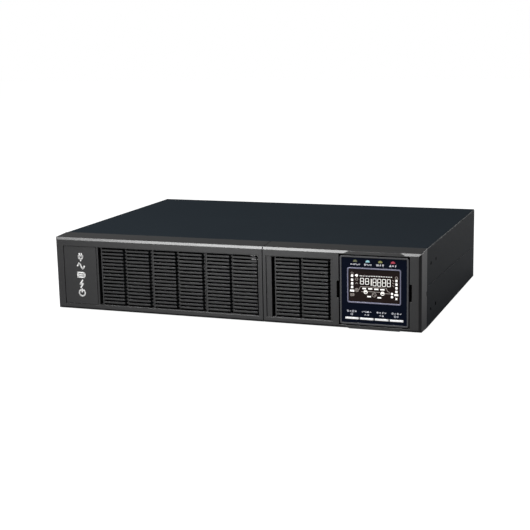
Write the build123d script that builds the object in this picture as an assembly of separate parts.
"""A 2U rack or tower uninterruptible power supply, in millimetres.

+Z is up and the front faces -Y. The origin is at the bottom centre of the whole box.
Each sub-part has its own short function, and parts/ gets one STEP file for each.
"""
from build123d import *
import math
import os

os.makedirs("parts", exist_ok=True)

# ---- driving dimensions: case ----
width = 438.0
height = 88.0
case_depth = 282.0
bezel_depth = 28.0
rear_proud = 5.0
sheet = 1.2
cover_bend_radius = 1.5
cover_lip = 10.0
seam_front_z = 46.0
seam_rear_z = 40.0
seam_gap = 0.4
moving_gap = 0.4
ear_hole_radius = 2.2
ear_hole_setback = 19.8
ear_hole_pitch_y = 25.5
ear_hole_pitch_z = 50.8
ear_hole_low_z = 17.4
vent_rows = 6
vent_low_z = 14.0
vent_pitch_z = 10.0
vent_height = 4.0
vent_bridge = 6.0

# ---- driving dimensions: bezels ----
bezel_seam_x = 41.0
bezel_seam_gap = 0.8
edge_chamfer = 2.6
front_taper = 1.4
front_wall = 4.0
shell_wall = 2.5
field_depth = 1.2
field_bottom_z = 7.8
field_top_z = 77.1
field_side_margin = 10.4
field_seam_margin = 3.6
label_width = 43.0
label_thickness = 0.7
label_corner = 2.0
slat_count = 16
slat_height = 2.1
slat_gap = 2.02
slat_set_back = 0.6
slat_width = 28.3
slat_step = 32.9
block_pitch = 66.2
grille_side_gap = 3.6
grille_end_gap = 1.6
grille_ring = 2.6
grille_ring_depth = 4.5
grille_rib = 1.4
band_set_back = 1.4
band_slope = 1.2
block_gap = 1.8
clip_radius = 2.5
clip_length = 7.0
clip_root = 10.0

# ---- driving dimensions: display module ----
module_size = 75.5
module_margin_x = 51.4
module_depth = 23.0
module_wall = 1.8
module_corner = 2.0
module_set_back = 0.3
module_gap = 1.3
pocket_wall = 4.0
notch_height = 19.0
notch_depth = 2.3
notch_reach = 12.0
brow_top_width = 55.4
brow_bottom_width = 67.6
face_set_back = 0.4
face_thickness = 2.0
window_margin_x = 8.05
window_margin_z = 18.25
window_rise = 5.5
window_ring = 1.4
window_corner = 2.2
lcd_set_back = 1.1
lcd_thickness = 2.0
led_count = 4
led_radius = 2.4
led_pitch = 13.85
led_edge = 6.65
button_count = 4
button_slit = 1.9
button_height = 2.0
button_margin_x = 4.85
button_edge = 6.7
button_stand = 0.6
button_travel = 1.0

# ---- driving dimensions: battery bay ----
divider_x = 38.0
bay_side_gap = 3.0
bay_top_z = 78.0
tray_gap = 1.0
tray_flange = 30.0
battery_length = 151.0
battery_width = 94.0
battery_thickness = 65.0
battery_fit = 0.5
terminal_length = 7.0
lead_radius = 2.2
handle_width = 90.0
handle_reach = 13.0
handle_bar = 5.0

# ---- driving dimensions: power electronics ----
board_thickness = 1.6
standoff_height = 8.0
board_front_gap = 42.0
board_back_gap = 42.0
board_side_gap = 7.0
fan_size = 80.0
fan_depth = 25.0
fan_bore_radius = 38.0
fan_hub_radius = 16.0
fan_tip_gap = 1.2
fan_blades = 7
fan_x = -160.0
guard_wire = 1.8
screw_radius = 3.2

# ---- driving dimensions: rear connectors ----
outlet_pitch_x = 33.0
outlet_pitch_z = 27.0
outlet_left_x = 40.0
outlet_right_x = 112.0
inlet_x = 178.0
inlet_z = 25.0
breaker_z = 65.0
breaker_stroke = 2.0
breaker_bore = 4.0
breaker_depth = 12.0
slot_x = -77.0
slot_z = 63.0
slot_width = 64.0
slot_height = 30.0
port_z = 24.0
usb_x = -100.0
serial_x = -66.0
epo_x = -25.0
data_x = -20.0
data_z = 63.0

# ---- places that follow from them ----
overall_depth = bezel_depth + case_depth + rear_proud
y_front = -overall_depth / 2
y_case = y_front + bezel_depth
y_back = y_case + case_depth
half_width = width / 2
wall_outer = half_width - sheet
wall_inner = wall_outer - sheet
roof_z = height - sheet
crest_z = height - front_taper
joggle = seam_gap + sheet
frame_back_y = y_case + sheet
panel_front_y = y_back - sheet
ear_hole_y = (y_case + ear_hole_setback, y_case + ear_hole_setback + ear_hole_pitch_y)
ear_hole_z = (ear_hole_low_z, ear_hole_low_z + ear_hole_pitch_z)

cover_x0 = -half_width
cover_x1 = bezel_seam_x - bezel_seam_gap / 2
bezel_x0 = bezel_seam_x + bezel_seam_gap / 2
bezel_x1 = half_width
slat_pitch = slat_height + slat_gap
opening_height = slat_count * slat_pitch + slat_gap
opening_z0 = (field_bottom_z + field_top_z) / 2 - opening_height / 2
opening_z1 = opening_z0 + opening_height
cover_opening_x0 = cover_x0 + field_side_margin + label_width + 2.1
bezel_opening_x0 = bezel_x0 + 9.8
ring_y = y_front + front_wall
slat_y = y_front + field_depth + slat_set_back

module_x = half_width - module_margin_x
module_z = height / 2
module_half = module_size / 2
pocket_half = module_half + module_gap
module_y = y_front + module_set_back
face_y = module_y + face_set_back
module_back_y = module_y + module_depth
window_width = module_size - 2 * window_margin_x
window_height = module_size - 2 * window_margin_z
window_z = module_z + window_rise
led_z = module_z + module_half - led_edge
button_z = module_z - module_half + button_edge
button_pitch = (module_size - 2 * button_margin_x) / button_count
button_width = button_pitch - button_slit
display_board_y = module_y + 14.0
button_flange_y = face_y + face_thickness + 0.3
switch_gap = button_travel + 0.3

bay_x0 = -wall_inner + bay_side_gap
bay_x1 = divider_x - bay_side_gap
tray_x0 = bay_x0 + tray_gap
tray_x1 = bay_x1 - tray_gap
tray_z0 = sheet + moving_gap
tray_floor_z = tray_z0 + sheet
tray_y0 = frame_back_y
battery_y0 = tray_y0 + 2.0
battery_y1 = battery_y0 + battery_length
tray_y1 = battery_y1 + 6.0
bay_back_y = tray_y1 + 9.0
battery_top_z = tray_floor_z + battery_thickness
left_battery_x0 = tray_x0 + sheet + battery_fit
left_battery_x1 = left_battery_x0 + battery_width
right_battery_x1 = tray_x1 - sheet - battery_fit
right_battery_x0 = right_battery_x1 - battery_width
channel_x = (left_battery_x1 + right_battery_x0) / 2
plug_z = 46.0

board_x0 = divider_x + sheet + board_side_gap
board_x1 = wall_inner - board_side_gap
board_y0 = y_case + board_front_gap
board_y1 = y_back - board_back_gap
board_z = sheet + standoff_height
board_top_z = board_z + board_thickness
fan_z = (sheet + roof_z) / 2
fan_back_y = panel_front_y
fan_front_y = fan_back_y - fan_depth
breaker_floor_y = y_back - breaker_depth


# ---- shape helpers ----
def block(x0, x1, y0, y1, z0, z1):
    """A box between two corners."""
    centre = Pos((x0 + x1) / 2, (y0 + y1) / 2, (z0 + z1) / 2)
    return centre * Box(x1 - x0, y1 - y0, z1 - z0)


def rod_x(y, z, x0, x1, radius):
    """A cylinder along X."""
    return Pos((x0 + x1) / 2, y, z) * Rot(0, 90, 0) * Cylinder(radius, x1 - x0)


def rod_y(x, z, y0, y1, radius):
    """A cylinder along Y."""
    return Pos(x, (y0 + y1) / 2, z) * Rot(90, 0, 0) * Cylinder(radius, y1 - y0)


def rod_z(x, y, z0, z1, radius):
    """A cylinder along Z."""
    return Pos(x, y, (z0 + z1) / 2) * Cylinder(radius, z1 - z0)


def along_x(outline, x0, x1):
    """An outline of (y, z) points or a sketch, extruded along X."""
    plane = Plane(origin=(x0, 0, 0), x_dir=(0, 1, 0), z_dir=(1, 0, 0))
    return extrude(plane * as_sketch(outline), amount=x1 - x0, dir=(1, 0, 0))


def along_y(outline, y0, y1):
    """An outline of (x, z) points or a sketch, extruded along Y."""
    plane = Plane(origin=(0, y0, 0), x_dir=(1, 0, 0), z_dir=(0, -1, 0))
    return extrude(plane * as_sketch(outline), amount=y1 - y0, dir=(0, 1, 0))


def along_z(outline, z0, z1):
    """An outline of (x, y) points or a sketch, extruded along Z."""
    plane = Plane(origin=(0, 0, z0), x_dir=(1, 0, 0), z_dir=(0, 0, 1))
    return extrude(plane * as_sketch(outline), amount=z1 - z0, dir=(0, 0, 1))


def as_sketch(outline):
    """A list of points becomes a polygon, and a sketch stays as it is."""
    return Polygon(*outline) if isinstance(outline, list) else outline


def rounded_slab(x, z, size_x, size_z, y0, y1, radius):
    """A plate across Y with rounded corners."""
    return along_y(Pos(x, z) * RectangleRounded(size_x, size_z, radius), y0, y1)


def joined(pieces):
    """One part from a list of solids, which may stay apart."""
    return Part() + pieces


def lead(points, radius):
    """A wire through points, with a ball at each corner."""
    pieces = []
    for start, end in zip(points, points[1:]):
        run = Edge.make_line(start, end)
        section = Plane(origin=start, z_dir=run % 0) * Circle(radius)
        pieces.append(extrude(section, amount=run.length))
    for point in points[1:-1]:
        pieces.append(Pos(*point) * Sphere(radius))
    return joined(pieces)


def save(name, shape):
    """Write one sub-part under its node name."""
    export_step(shape, os.path.join("parts", name + ".step"))


# ---- case ----
def ear_holes(rows):
    """Cutters for the rack-ear holes of both sides."""
    return [rod_x(y, z, -width, width, ear_hole_radius) for y in ear_hole_y for z in rows]


def side_sheet(side, inner, outer, front_z, rear_z):
    """Part of a side wall: from front_z and rear_z pairs of heights, at the front and at the rear."""
    x0, x1 = sorted((side * inner, side * outer))
    profile = [(y_case, front_z[0]), (y_back, rear_z[0]), (y_back, rear_z[1]), (y_case, front_z[1])]
    return along_x(profile, x0, x1)


def bottom_chassis():
    """Floor and sides, which are flush with the cover below the seam and step in behind it above."""
    body = block(-half_width, half_width, y_case, y_back, 0, sheet)
    front_step = (seam_front_z - joggle, seam_front_z - seam_gap)
    rear_step = (seam_rear_z - joggle, seam_rear_z - seam_gap)
    for side in (-1, 1):
        body += side_sheet(side, wall_outer, half_width, (0, front_step[1]), (0, rear_step[1]))
        body += side_sheet(side, wall_inner, half_width, front_step, rear_step)
        body += side_sheet(side, wall_inner, wall_outer, (front_step[0], roof_z), (rear_step[0], roof_z))
        x0, x1 = sorted((side * (wall_inner - cover_lip), side * wall_inner))
        body += block(x0, x1, frame_back_y, panel_front_y, roof_z - sheet, roof_z)
    return body - ear_holes(ear_hole_z)


def top_cover():
    profile = [(y_case, seam_front_z), (y_back, seam_rear_z), (y_back, height), (y_case, height)]
    body = block(-half_width, half_width, y_case, y_back, roof_z, height)
    body += along_x(profile, -half_width, -wall_outer)
    body += along_x(profile, wall_outer, half_width)
    long_edges = body.edges().filter_by(Axis.Y).group_by(Axis.Z)[-1]
    body = fillet(long_edges, cover_bend_radius)
    return body - ear_holes(ear_hole_z[1:])


def end_plate(y0, y1):
    """A plate across the case, wider below the side walls' step."""
    plate = block(-wall_inner, wall_inner, y0, y1, sheet, roof_z)
    return plate + block(-wall_outer, wall_outer, y0, y1, sheet, seam_rear_z - joggle)


def front_frame():
    plate = end_plate(y_case, frame_back_y)
    plate -= block(bay_x0, bay_x1, y_case - 1, frame_back_y + 1, sheet, bay_top_z)
    plate -= vent_slots(bezel_opening_x0, bezel_grille_end(), 3)
    plate -= rod_y(module_x, module_z, y_case - 1, frame_back_y + 1, 18)
    plate -= [rod_y(x, z, y_case - 1, frame_back_y + 1, clip_radius + moving_gap) for x, z in cover_clips()]
    plate -= [rod_y(x, z, y_case - 1, frame_back_y + 1, clip_radius) for x, z in bezel_clips()]
    return plate


def vent_slots(x0, x1, columns):
    """Cutters for a field of rounded air slots between two sides."""
    step = (x1 - x0) / columns
    centres = [x0 + step * (i + 0.5) for i in range(columns)]
    rows = [vent_low_z + i * vent_pitch_z for i in range(vent_rows)]
    length = step - vent_bridge
    return [rounded_slab(x, z, length, vent_height, y_case - 1, frame_back_y + 1, vent_height * 0.48)
            for x in centres for z in rows]


def battery_bay_wall():
    top_z = bay_top_z
    body = block(divider_x, divider_x + sheet, frame_back_y, bay_back_y + sheet, sheet, top_z)
    body += block(-wall_inner, divider_x, bay_back_y, bay_back_y + sheet, sheet, top_z)
    return body - block(channel_x - 18, channel_x + 18, bay_back_y - 1, bay_back_y + 3,
                        plug_z - 10, plug_z + 10)


# ---- bezels ----
def cover_clips():
    """Centres of the battery cover's clip pegs, over the battery opening."""
    z = bay_top_z + 4.0
    return [(cover_x0 + 30, z), ((cover_x0 + cover_x1) / 2, z), (cover_x1 - 20, z)]


def bezel_clips():
    """Centres of the front bezel's clip pegs."""
    inset = shell_wall + clip_radius + 1
    xs = (bezel_x0 + inset, bezel_x1 - inset - 1)
    return [(x, z) for x in xs for z in (inset, height - inset)]


def clip_peg(x, z, back_y):
    """A peg behind a bezel, with a web to the nearer wall."""
    wall_z = crest_z - shell_wall if z > height / 2 else shell_wall
    start_y = back_y - clip_root
    web = block(x - 1, x + 1, start_y, back_y, min(z, wall_z), max(z, wall_z))
    return rod_y(x, z, start_y, y_case + clip_length, clip_radius) + web


def bezel_shell(x0, x1, outer_side, back_y):
    """A hollow bezel, open at the back, with three chamfered front edges, a little lower in front."""
    low = y_front + edge_chamfer
    profile = [(low, front_taper), (back_y, 0), (back_y, height), (low, crest_z),
               (y_front, crest_z - edge_chamfer), (y_front, front_taper + edge_chamfer)]
    if outer_side < 0:
        plan = [(x0, low), (x0 + edge_chamfer, y_front), (x1, y_front), (x1, back_y), (x0, back_y)]
    else:
        plan = [(x0, y_front), (x1 - edge_chamfer, y_front), (x1, low), (x1, back_y), (x0, back_y)]
    body = along_x(profile, x0, x1) & along_z(plan, 0, height)
    return body - block(x0 + shell_wall, x1 - shell_wall, ring_y, back_y + 1,
                        front_taper + shell_wall, crest_z - shell_wall)


def recessed_field(x0, x1):
    """Cutter for the shallow field around a grille."""
    return block(x0, x1, y_front - 1, y_front + field_depth, field_bottom_z, field_top_z)


def battery_cover():
    back_y = y_case - moving_gap
    body = bezel_shell(cover_x0, cover_x1, -1, back_y)
    body -= recessed_field(cover_x0 + field_side_margin, cover_x1 - field_seam_margin)
    body -= block(cover_opening_x0, cover_grille_end(), y_front - 1, ring_y + 1, opening_z0, opening_z1)
    for x, z in cover_clips():
        body += clip_peg(x, z, back_y)
    return body


def front_bezel():
    body = bezel_shell(bezel_x0, bezel_x1, 1, y_case)
    body += pocket_walls()
    body += brow(crest_z - edge_chamfer, crest_z)
    body += brow(front_taper + edge_chamfer, front_taper)
    body -= recessed_field(bezel_x0 + field_seam_margin, bezel_grille_end() + 2.5)
    body -= block(bezel_opening_x0, bezel_grille_end(), y_front - 1, ring_y + 1, opening_z0, opening_z1)
    body -= block(module_x - pocket_half, module_x + pocket_half, y_front - 1, y_case + 1,
                  module_z - pocket_half, module_z + pocket_half)
    reach = pocket_half + notch_depth
    body -= block(module_x - reach, module_x + reach, y_front - 1, y_front + notch_reach,
                  module_z - notch_height / 2, module_z + notch_height / 2)
    body -= block(half_width - 1, half_width + 1, y_case - 2, y_case + 1, 35, 41)
    for x, z in bezel_clips():
        body += clip_peg(x, z, y_case)
    return body


def pocket_walls():
    """The square tube that the display module slides in."""
    x0 = module_x - pocket_half - pocket_wall
    x1 = module_x + pocket_half + pocket_wall
    return block(x0, x1, y_front + edge_chamfer, y_case, front_taper + 1, crest_z - 1)


def brow(inner_z, outer_z):
    """A raised length of edge over or under the display, which thickens the pocket's wall."""
    outline = [(module_x - brow_bottom_width / 2, inner_z), (module_x + brow_bottom_width / 2, inner_z),
               (module_x + brow_top_width / 2, outer_z), (module_x - brow_top_width / 2, outer_z)]
    return along_y(outline, y_front, y_front + edge_chamfer + 1)


def slat_starts(opening_x0, columns):
    """Left end of each column of slats: pairs of columns make a block."""
    first = opening_x0 + grille_side_gap
    return [first + block_pitch * (i // 2) + slat_step * (i % 2) for i in range(columns)]


def cover_grille_end():
    return slat_starts(cover_opening_x0, 6)[-1] + slat_width + grille_end_gap


def bezel_grille_end():
    return slat_starts(bezel_opening_x0, 2)[-1] + slat_width + 2 * grille_end_gap


def slat_plan(x1, starts):
    """One block's slat from above: it stands forward along each column and falls back after it."""
    band_y = ring_y + band_set_back
    ring_back = ring_y + grille_ring_depth
    points = [(starts[0], ring_back)]
    for start in starts:
        end = start + slat_width
        points += [(start, slat_y), (end, slat_y), (end + band_slope, band_y)]
        if start != starts[-1]:
            points.append((starts[-1] - band_slope, band_y))
    return points + [(x1, band_y), (x1, ring_back)]


def grille(opening_x0, opening_x1, columns):
    """Blocks of slats between ribs, and the ring that seats behind the bezel's front wall."""
    starts = slat_starts(opening_x0, columns)
    ring_back = ring_y + grille_ring_depth
    ring = block(opening_x0 - grille_ring, opening_x1 + grille_ring, ring_y, ring_back,
                 opening_z0 - grille_ring, opening_z1 + grille_ring)
    ring -= block(opening_x0, opening_x1, ring_y - 1, ring_back + 1, opening_z0, opening_z1)
    pieces = [ring]
    for i in range(0, columns, 2):
        last = i + 2 == columns
        end = opening_x1 if last else starts[i + 2] - block_gap
        plan = slat_plan(end, starts[i:i + 2])
        for row in range(slat_count):
            z0 = opening_z0 + slat_gap + row * slat_pitch
            pieces.append(along_z(plan, z0, z0 + slat_height))
        pieces.append(block(starts[i], starts[i] + grille_rib, slat_y, ring_back, opening_z0, opening_z1))
        for start in starts[i:i + 2]:
            x = start + slat_width + band_slope
            pieces.append(block(x, x + grille_rib, ring_back - 1, ring_back + 2, opening_z0, opening_z1))
    return joined(pieces)


def battery_cover_grille():
    return grille(cover_opening_x0, cover_grille_end(), 6)


def front_bezel_grille():
    return grille(bezel_opening_x0, bezel_grille_end(), 2)


def label_plate():
    x0 = cover_x0 + field_side_margin + moving_gap
    x1 = x0 + label_width - 2 * moving_gap
    back_y = y_front + field_depth
    z = (field_bottom_z + field_top_z) / 2
    size_z = field_top_z - field_bottom_z - 2 * moving_gap
    return rounded_slab((x0 + x1) / 2, z, x1 - x0, size_z, back_y - label_thickness, back_y, label_corner)


# ---- display module ----
def display_housing():
    body = rounded_slab(module_x, module_z, module_size, module_size, module_y, module_back_y, module_corner)
    inner = module_half - module_wall
    body -= block(module_x - inner, module_x + inner, module_y - 1, module_back_y - module_wall,
                  module_z - inner, module_z + inner)
    return body - block(module_x - 12, module_x + 12, module_back_y - 3, module_back_y + 1,
                        module_z - 6, module_z + 6)


def display_face():
    inner = module_half - module_wall
    plate = block(module_x - inner, module_x + inner, face_y, face_y + face_thickness,
                  module_z - inner, module_z + inner)
    plate -= rounded_slab(module_x, window_z, window_width, window_height, face_y - 1,
                          face_y + face_thickness + 1, window_corner)
    plate -= [half_moon(x, face_y - 1, face_y + face_thickness + 1) for x in led_places()]
    slot_half = button_pitch * button_count / 2 - (button_pitch - button_width) / 2 + moving_gap
    slot_rise = button_height / 2 + moving_gap
    return plate - block(module_x - slot_half, module_x + slot_half, face_y - 1, face_y + face_thickness + 1,
                         button_z - slot_rise, button_z + slot_rise)


def window_frame():
    y1 = face_y + face_thickness
    ring = rounded_slab(module_x, window_z, window_width, window_height, module_y, y1, window_corner)
    return ring - rounded_slab(module_x, window_z, window_width - 2 * window_ring,
                               window_height - 2 * window_ring, module_y - 1, y1 + 1,
                               window_corner - window_ring / 2)


def lcd_panel():
    y0 = module_y + lcd_set_back
    return rounded_slab(module_x, window_z, window_width - 2 * window_ring, window_height - 2 * window_ring,
                        y0, y0 + lcd_thickness, window_corner - window_ring / 2)


def led_places():
    first = module_x - led_pitch * (led_count - 1) / 2
    return [first + led_pitch * i for i in range(led_count)]


def half_moon(x, y0, y1):
    """The upper half of a disc, along Y."""
    upper = block(x - led_radius, x + led_radius, y0, y1, led_z, led_z + led_radius)
    return rod_y(x, led_z, y0, y1, led_radius) & upper


def led_lenses():
    return joined([half_moon(x, face_y - 0.2, display_board_y - 2) for x in led_places()])


def display_board():
    half = module_half - module_wall - 1.5
    y1 = display_board_y + board_thickness
    plate = block(module_x - half, module_x + half, display_board_y, y1, module_z - half, module_z + half)
    header = block(module_x - 11, module_x + 11, y1, module_back_y - module_wall - 0.6,
                   module_z - 4, module_z + 4)
    return plate + header


def button_places():
    first = module_x - button_pitch * (button_count - 1) / 2
    return [first + button_pitch * i for i in range(button_count)]


def button(x):
    """One bar button with its flange behind the face and a stem to its switch."""
    z0 = button_z - button_height / 2
    z1 = button_z + button_height / 2
    x0 = x - button_width / 2
    x1 = x + button_width / 2
    flange_back = button_flange_y + 1.2
    body = block(x0, x1, face_y - button_stand, flange_back, z0, z1)
    front_edges = body.edges().group_by(Axis.Y)[0]
    body = fillet(front_edges, 0.35)
    body += block(x0, x1, button_flange_y, flange_back, z0 - 1.2, z1 + 1.2)
    return body + rod_y(x, button_z, flange_back, switch_front_y(), 1.4)


def switch_front_y():
    """Where a button's stem ends at rest."""
    return display_board_y - 3.5 - switch_gap


def button_switches():
    pieces = []
    for x in button_places():
        pieces.append(block(x - 3, x + 3, display_board_y - 3.5, display_board_y, button_z - 3, button_z + 3))
    return joined(pieces)


def display_ribbon():
    """The flat cable's folded length between the module and the main board."""
    y0 = module_back_y + moving_gap
    y1 = board_y0 + 4
    z0 = board_top_z
    outline = [(y0, module_z), (y1, module_z), (y1, z0),
               (y1 - 1, z0), (y1 - 1, module_z - 1), (y0, module_z - 1)]
    return along_x(outline, module_x - 10, module_x + 10)


# ---- battery tray ----
def battery_tray():
    body = block(tray_x0, tray_x1, tray_y0, tray_y1, tray_z0, tray_floor_z)
    for x0 in (tray_x0, tray_x1 - sheet):
        body += block(x0, x0 + sheet, tray_y0, tray_y1, tray_z0, tray_floor_z + tray_flange)
    body += block(tray_x0, tray_x1, tray_y1 - sheet, tray_y1, tray_z0, plug_z + 12)
    return body - block(channel_x - 15, channel_x + 15, tray_y1 - 3, tray_y1 + 1, plug_z - 7, plug_z + 7)


def tray_front_plate():
    plate = block(bay_x0 + tray_gap, bay_x1 - tray_gap, y_case, frame_back_y, tray_z0, bay_top_z - tray_gap)
    return plate - vent_slots(bay_x0 + 20, bay_x1 - 20, 8)


def tray_handle():
    mid_x = (bay_x0 + bay_x1) / 2
    x0 = mid_x - handle_width / 2
    x1 = mid_x + handle_width / 2
    z0 = bay_top_z / 2 - 8
    bar_y = y_case - handle_reach
    body = block(x0, x1, bar_y, bar_y + handle_bar, z0, z0 + 16)
    for foot_x in (x0, x1 - handle_bar):
        body += block(foot_x, foot_x + handle_bar, bar_y, y_case, z0, z0 + 16)
    return body


def tray_screws():
    """Two captive thumb screws in the tray's front plate."""
    pieces = []
    for x in (bay_x0 + 12, bay_x1 - 12):
        pieces.append(rod_y(x, bay_top_z - 8, y_case - 6, y_case, 4.5))
    return joined(pieces)


def battery(x0):
    """A sealed lead-acid block on its side, with its lid seam."""
    body = block(x0, x0 + battery_width, battery_y0, battery_y1, tray_floor_z, battery_top_z)
    body = fillet(body.edges().filter_by(Axis.X), 2.0)
    return body


def battery_terminals():
    """Faston blades on the facing sides of the two blocks."""
    pieces = []
    z = battery_top_z - 18
    for y in (battery_y0 + 18, battery_y1 - 18):
        for x in (left_battery_x1, right_battery_x0 - terminal_length):
            pieces.append(block(x, x + terminal_length, y - 3.2, y + 3.2, z, z + 0.8))
    return joined(pieces)


def battery_leads():
    """A link between the blocks and one lead from each to the plug."""
    z = battery_top_z - 17.6
    front_y = battery_y0 + 18
    rear_y = battery_y1 - 18
    left_x = left_battery_x1 + terminal_length
    right_x = right_battery_x0 - terminal_length
    end_y = tray_y1 - 9
    link = lead([(left_x, front_y, z), (right_x, front_y, z)], lead_radius)
    near = channel_x - 7
    far = channel_x + 7
    left = lead([(left_x, rear_y, z), (near, rear_y, z), (near, end_y, z)], lead_radius)
    right = lead([(right_x, rear_y, z), (far, rear_y, z), (far, end_y, z)], lead_radius)
    return joined([link, left, right])


def battery_retainer():
    """A strap over both blocks, with feet down to the tray's flanges."""
    y0 = (battery_y0 + battery_y1) / 2 - 15
    body = block(tray_x0, tray_x1, y0, y0 + 30, battery_top_z, battery_top_z + sheet)
    for x0 in (tray_x0, tray_x1 - sheet):
        body += block(x0, x0 + sheet, y0, y0 + 30, tray_floor_z + tray_flange, battery_top_z + sheet)
    return body


def battery_plug():
    """The blind-mate plug in the tray's rear flange."""
    body = block(channel_x - 15, channel_x + 15, tray_y1 - 9, tray_y1, plug_z - 7, plug_z + 7)
    return body + block(channel_x - 11, channel_x + 11, tray_y1, tray_y1 + 7, plug_z - 4, plug_z + 4)


def power_socket():
    """The fixed half of the battery connector, in the bay's back wall."""
    front_y = tray_y1 + 2
    body = block(channel_x - 18, channel_x + 18, front_y, bay_back_y + 10, plug_z - 10, plug_z + 10)
    gap = 2 * moving_gap
    return body - block(channel_x - 11 - gap, channel_x + 11 + gap, front_y - 1, tray_y1 + 7 + gap,
                        plug_z - 4 - gap, plug_z + 4 + gap)


# ---- power electronics ----
def standoff_places():
    xs = (board_x0 + 6, board_x1 - 6)
    ys = (board_y0 + 6, (board_y0 + board_y1) / 2, board_y1 - 6)
    return [(x, y) for x in xs for y in ys]


def insulation_sheet():
    return block(board_x0, board_x1, board_y0, board_y1, sheet, sheet + 0.5) - [
        rod_z(x, y, 0, 5, 4) for x, y in standoff_places()]


def board_standoffs():
    return joined([rod_z(x, y, sheet, board_z, 3) for x, y in standoff_places()])


def main_board():
    plate = block(board_x0, board_x1, board_y0, board_y1, board_z, board_top_z)
    return plate - [rod_z(x, y, board_z - 1, board_top_z + 1, 1.7) for x, y in standoff_places()]


def heatsink(x0, y0, length):
    """A finned extrusion standing on the board."""
    z1 = board_top_z + 48
    body = block(x0, x0 + 5, y0, y0 + length, board_top_z, z1)
    for i in range(6):
        z = board_top_z + 3 + i * 8
        body += block(x0 + 5, x0 + 22, y0, y0 + length, z, z + 2)
    return body


def heatsinks():
    length = (board_y1 - board_y0) * 0.55
    return joined([heatsink(x, board_y0 + 24, length) for x in (board_x0 + 18, board_x0 + 70)])


def power_transistors():
    pieces = []
    for x in (board_x0 + 18, board_x0 + 70):
        for i in range(4):
            y = board_y0 + 32 + i * 22
            pieces.append(block(x - 4.6, x, y, y + 15, board_top_z + 5, board_top_z + 26))
    return joined(pieces)


def bus_capacitors():
    places = [(board_x0 + 108 + 30 * i, board_y0 + 40 + 32 * j) for i in range(2) for j in range(2)]
    return joined([rod_z(x, y, board_top_z, board_top_z + 45, 13) for x, y in places])


def filter_inductors():
    """Two wound toroids lying on the rear of the main board."""
    pieces = []
    for x in (board_x0 + 26, board_x0 + 74):
        ring = rod_z(x, board_y1 - 24, board_top_z, board_top_z + 20, 19)
        pieces.append(ring - rod_z(x, board_y1 - 24, board_top_z - 1, board_top_z + 21, 8))
    return joined(pieces)


def power_transformer():
    """Ferrite transformer behind the battery bay: core with a fatter winding."""
    x = divider_x - 60
    y0 = bay_back_y + 24
    core = block(x - 28, x + 28, y0, y0 + 20, sheet, sheet + 48)
    return core + block(x - 17, x + 17, y0 - 8, y0 + 28, sheet + 8, sheet + 40)


def relays():
    pieces = []
    for i in range(4):
        x = board_x0 + 104 + 17 * i
        pieces.append(block(x, x + 13, board_y1 - 32, board_y1 - 3, board_top_z, board_top_z + 16))
    return joined(pieces)


def fuses():
    pieces = []
    for x in (board_x0 + 112, board_x0 + 140):
        pieces.append(rod_y(x, board_top_z + 5, board_y0 + 8, board_y0 + 26, 3.5))
    return joined(pieces)


def control_board():
    """The vertical logic card beside the right wall."""
    x = board_x1 - 8
    y1 = board_y1 - 46
    body = block(x, x + board_thickness, board_y0 + 14, y1, board_top_z, board_top_z + 52)
    return body + block(x - 3, x, board_y0 + 40, board_y0 + 56, board_top_z + 22, board_top_z + 38)


# ---- fan ----
def fan_frame():
    half = fan_size / 2
    body = rounded_slab(fan_x, fan_z, fan_size, fan_size, fan_front_y, fan_back_y, 4)
    body -= rod_y(fan_x, fan_z, fan_front_y - 1, fan_back_y + 1, fan_bore_radius)
    body += rod_y(fan_x, fan_z, fan_front_y, fan_front_y + 3, fan_hub_radius)
    for angle in (45, 135):
        bar = Pos(fan_x, fan_front_y + 1.5, fan_z) * Rot(0, angle, 0) * Box(2 * fan_bore_radius + 2, 3, 4)
        body += bar
    for x, z in fan_corners():
        body -= rod_y(x, z, fan_front_y - 1, fan_back_y + 1, 2.1)
    return body & block(fan_x - half, fan_x + half, fan_front_y, fan_back_y, fan_z - half, fan_z + half)


def fan_corners():
    inset = fan_size / 2 - 4.25
    return [(fan_x + i * inset, fan_z + j * inset) for i in (-1, 1) for j in (-1, 1)]


def fan_rotor():
    """Hub and twisted blades, clear of the frame's bars and bore."""
    y0 = fan_front_y + 4
    y1 = fan_back_y - 2
    hub = rod_y(fan_x, fan_z, y0, y1, fan_hub_radius)
    tip = fan_bore_radius - fan_tip_gap
    reach = tip - fan_hub_radius + 6
    blades = []
    for i in range(fan_blades):
        turn = Pos(fan_x, (y0 + y1) / 2, fan_z) * Rot(0, 360 * i / fan_blades, 0)
        blades.append(turn * Pos(tip - reach / 2 + 2, 0, 0) * Rot(38, 0, 0) * Box(reach, 19, 1.6))
    swept = rod_y(fan_x, fan_z, y0, y1, tip)
    return joined([hub] + [blade & swept for blade in blades])


def fan_guard():
    """A wire guard on the outside of the rear panel."""
    y1 = y_back + guard_wire
    pieces = []
    for radius in (9, 18, 27, 36):
        ring = rod_y(fan_x, fan_z, y_back, y1, radius + guard_wire / 2)
        pieces.append(ring - rod_y(fan_x, fan_z, y_back - 1, y1 + 1, radius - guard_wire / 2))
    centre = Pos(fan_x, y_back + guard_wire / 2, fan_z)
    span = 2 * (fan_size / 2 - 4.25) * math.sqrt(2)
    for angle in (45, 135):
        pieces.append(centre * Rot(0, angle, 0) * Box(span, guard_wire, guard_wire))
    for x, z in fan_corners():
        pieces.append(rod_y(x, z, y_back, y1, 3.6))
    return joined(pieces)


# ---- rear panel and its connectors ----
def outlet_places(bank_x):
    return [(bank_x + i * outlet_pitch_x / 2, module_z + j * outlet_pitch_z / 2)
            for i in (-1, 1) for j in (-1, 1)]


def bank_size():
    return (2 * outlet_pitch_x, 2 * outlet_pitch_z)


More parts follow.
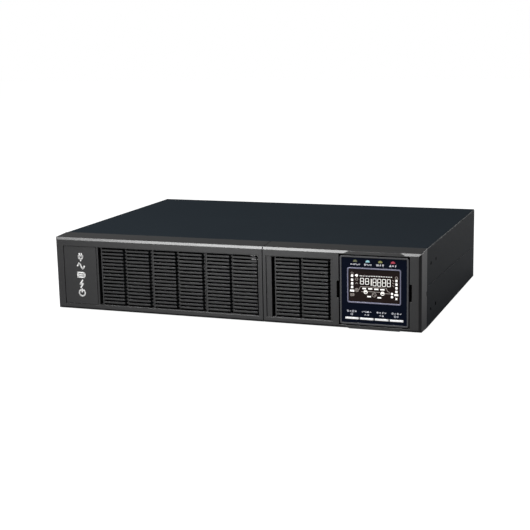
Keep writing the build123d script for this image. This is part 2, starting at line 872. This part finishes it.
def connector_outline(size_x, size_z, bevel):
    """The mains connector's outline: a rectangle with two bevelled upper corners."""
    a = size_x / 2
    b = size_z / 2
    return [(-a, -b), (a, -b), (a, b - bevel), (a - bevel, b), (bevel - a, b), (-a, b - bevel)]


def shifted(outline, x, z):
    return [(x + px, z + pz) for px, pz in outline]


def outlet_bank(bank_x):
    """Four outlets in one moulding: a grooved socket with three blade slots each."""
    size_x, size_z = bank_size()
    flange_y = y_back + 2
    body = rounded_slab(bank_x, module_z, size_x, size_z, y_back, flange_y, 2)
    body += block(bank_x - size_x / 2 + 3, bank_x + size_x / 2 - 3, y_back - 22, y_back,
                  module_z - size_z / 2 + 3, module_z + size_z / 2 - 3)
    for x, z in outlet_places(bank_x):
        groove = along_y(shifted(connector_outline(25, 17, 4.5), x, z), y_back - 15, flange_y + 1)
        groove -= along_y(shifted(connector_outline(20.5, 12.5, 3.6), x, z), y_back - 16, flange_y + 2)
        body -= groove
        for dx, dz in ((-7, -1), (7, -1), (0, 2.5)):
            body -= block(x + dx - 1.1, x + dx + 1.1, y_back - 12, flange_y + 1, z + dz - 2.2, z + dz + 2.2)
    return body


def mains_inlet():
    """A recessed inlet with three blades and a screw flange."""
    flange_y = y_back + 2
    body = rounded_slab(inlet_x, inlet_z, 48, 24, y_back, flange_y, 3)
    body += block(inlet_x - 14, inlet_x + 14, y_back - 24, y_back, inlet_z - 10, inlet_z + 10)
    body -= along_y(shifted(connector_outline(24.2, 16.6, 4), inlet_x, inlet_z), y_back - 17, flange_y + 1)
    for dx, dz in ((-7, -1), (7, -1), (0, 2.5)):
        body += block(inlet_x + dx - 1, inlet_x + dx + 1, y_back - 18, y_back - 4,
                      inlet_z + dz - 2, inlet_z + dz + 2)
    return body


def breaker_body():
    body = rod_y(inlet_x, breaker_z, y_back, y_back + 1.5, 9)
    body += rod_y(inlet_x, breaker_z, y_back - 26, y_back, 7)
    return body - rod_y(inlet_x, breaker_z, breaker_floor_y, y_back + 3, breaker_bore)


def breaker_button():
    stem_y = breaker_floor_y + breaker_stroke + 1
    stem = rod_y(inlet_x, breaker_z, stem_y, y_back + rear_proud, breaker_bore - moving_gap)
    return fillet(stem.edges().group_by(Axis.Y)[-1], 0.8)


def slot_cover():
    return rounded_slab(slot_x, slot_z, slot_width, slot_height, y_back, y_back + sheet, 2)


def usb_port():
    body = block(usb_x - 6, usb_x + 6, y_back - 16, y_back + 0.8, port_z - 5.5, port_z + 5.5)
    body -= block(usb_x - 4.3, usb_x + 4.3, y_back - 12, y_back + 2, port_z - 4, port_z + 4)
    return body + block(usb_x - 2.8, usb_x + 2.8, y_back - 14, y_back - 2, port_z - 1.6, port_z + 1.6)


def serial_port():
    body = rounded_slab(serial_x, port_z, 31, 12.5, y_back, y_back + 0.8, 2)
    body += block(serial_x - 10, serial_x + 10, y_back - 12, y_back, port_z - 5, port_z + 5)
    outline = [(-8.5, 4.2), (8.5, 4.2), (7, -4.2), (-7, -4.2)]
    inner = [(-7.9, 3.6), (7.9, 3.6), (6.4, -3.6), (-6.4, -3.6)]
    shell = along_y(shifted(outline, serial_x, port_z), y_back, y_back + 4.4)
    body += shell
    body -= along_y(shifted(inner, serial_x, port_z), y_back - 3, y_back + 5)
    for dx in (-12.5, 12.5):
        body += rod_y(serial_x + dx, port_z, y_back, y_back + 4.4, 2.2)
    return body


def epo_terminal():
    body = block(epo_x - 8, epo_x + 8, y_back - 12, y_back + 2.5, port_z - 5, port_z + 5)
    for dx in (-4, 4):
        body -= block(epo_x + dx - 1.8, epo_x + dx + 1.8, y_back - 5, y_back + 3, port_z - 3, port_z + 1)
    return body


def data_line_ports():
    """Two telephone or network line jacks side by side."""
    body = block(data_x - 17, data_x + 17, y_back - 18, y_back + 0.8, data_z - 8, data_z + 8)
    for dx in (-8, 8):
        x = data_x + dx
        body -= block(x - 6, x + 6, y_back - 14, y_back + 2, data_z - 4, data_z + 4)
        body -= block(x - 3, x + 3, y_back - 6, y_back + 2, data_z - 6.2, data_z - 3)
    return body


def ground_screw():
    x = inlet_x + 27
    stem = rod_y(x, breaker_z, y_back - 8, y_back + 3, 2.5)
    head = along_y(Pos(x, breaker_z) * RegularPolygon(5, 6), y_back, y_back + 3)
    return stem + head


def rear_screw_places():
    xs = (-wall_inner + 6, -108, -4, 76, wall_inner - 6)
    edge = [(x, z) for x in xs for z in (sheet + 5, roof_z - 5)]
    slot = [(slot_x + i * (slot_width / 2 - 4), slot_z) for i in (-1, 1)]
    inlet = [(inlet_x + i * 20, inlet_z) for i in (-1, 1)]
    return edge, slot, inlet


def rear_screws():
    edge, slot, inlet = rear_screw_places()
    pieces = [pan_head(x, z, y_back) for x, z in edge]
    pieces += [pan_head(x, z, y_back + sheet) for x, z in slot]
    pieces += [pan_head(x, z, y_back + 2) for x, z in inlet]
    pieces += [pan_head(x, z, y_back + guard_wire) for x, z in fan_corners()]
    return joined(pieces)


def pan_head(x, z, seat_y):
    """A cross-recessed pan head on a seat that faces +Y."""
    body = rod_y(x, z, seat_y, seat_y + 1.8, screw_radius)
    body = fillet(body.edges().group_by(Axis.Y)[-1], 0.8)
    slot = block(x - 1.8, x + 1.8, seat_y + 0.9, seat_y + 3, z - 0.35, z + 0.35)
    slot += block(x - 0.35, x + 0.35, seat_y + 0.9, seat_y + 3, z - 1.8, z + 1.8)
    return body - slot


def rear_panel():
    y0 = panel_front_y - 1
    y1 = y_back + 1
    plate = end_plate(panel_front_y, y_back)
    plate -= rod_y(fan_x, fan_z, y0, y1, fan_bore_radius)
    size_x, size_z = bank_size()
    for x in (outlet_left_x, outlet_right_x):
        plate -= block(x - size_x / 2 + 3, x + size_x / 2 - 3, y0, y1,
                       module_z - size_z / 2 + 3, module_z + size_z / 2 - 3)
    plate -= block(inlet_x - 14, inlet_x + 14, y0, y1, inlet_z - 10, inlet_z + 10)
    plate -= rod_y(inlet_x, breaker_z, y0, y1, 7)
    plate -= block(slot_x - slot_width / 2 + 9, slot_x + slot_width / 2 - 9, y0, y1,
                   slot_z - slot_height / 2 + 3, slot_z + slot_height / 2 - 3)
    plate -= block(usb_x - 6, usb_x + 6, y0, y1, port_z - 5.5, port_z + 5.5)
    plate -= block(serial_x - 10, serial_x + 10, y0, y1, port_z - 5, port_z + 5)
    plate -= block(epo_x - 8, epo_x + 8, y0, y1, port_z - 5, port_z + 5)
    plate -= block(data_x - 17, data_x + 17, y0, y1, data_z - 8, data_z + 8)
    plate -= rod_y(inlet_x + 27, breaker_z, y0, y1, 2.5)
    return plate


save("bottom_chassis", bottom_chassis())
save("top_cover", top_cover())
save("front_frame", front_frame())
save("rear_panel", rear_panel())
save("battery_bay_wall", battery_bay_wall())
save("battery_cover", battery_cover())
save("battery_cover_grille", battery_cover_grille())
save("label_plate", label_plate())
save("front_bezel", front_bezel())
save("front_bezel_grille", front_bezel_grille())
save("display_housing", display_housing())
save("display_face", display_face())
save("window_frame", window_frame())
save("lcd_panel", lcd_panel())
save("led_lenses", led_lenses())
save("display_board", display_board())
save("button_switches", button_switches())
save("display_ribbon", display_ribbon())
for number, place in enumerate(button_places(), start=1):
    save(f"button_{number}", button(place))
save("battery_tray", battery_tray())
save("tray_front_plate", tray_front_plate())
save("tray_handle", tray_handle())
save("tray_screws", tray_screws())
save("battery_left", battery(left_battery_x0))
save("battery_right", battery(right_battery_x0))
save("battery_terminals", battery_terminals())
save("battery_leads", battery_leads())
save("battery_retainer", battery_retainer())
save("battery_plug", battery_plug())
save("power_socket", power_socket())
save("insulation_sheet", insulation_sheet())
save("board_standoffs", board_standoffs())
save("main_board", main_board())
save("heatsinks", heatsinks())
save("power_transistors", power_transistors())
save("bus_capacitors", bus_capacitors())
save("filter_inductors", filter_inductors())
save("power_transformer", power_transformer())
save("relays", relays())
save("fuses", fuses())
save("control_board", control_board())
save("fan_frame", fan_frame())
save("fan_rotor", fan_rotor())
save("fan_guard", fan_guard())
save("outlet_bank_left", outlet_bank(outlet_left_x))
save("outlet_bank_right", outlet_bank(outlet_right_x))
save("mains_inlet", mains_inlet())
save("breaker_body", breaker_body())
save("breaker_button", breaker_button())
save("slot_cover", slot_cover())
save("usb_port", usb_port())
save("serial_port", serial_port())
save("epo_terminal", epo_terminal())
save("data_line_ports", data_line_ports())
save("ground_screw", ground_screw())
save("rear_screws", rear_screws())
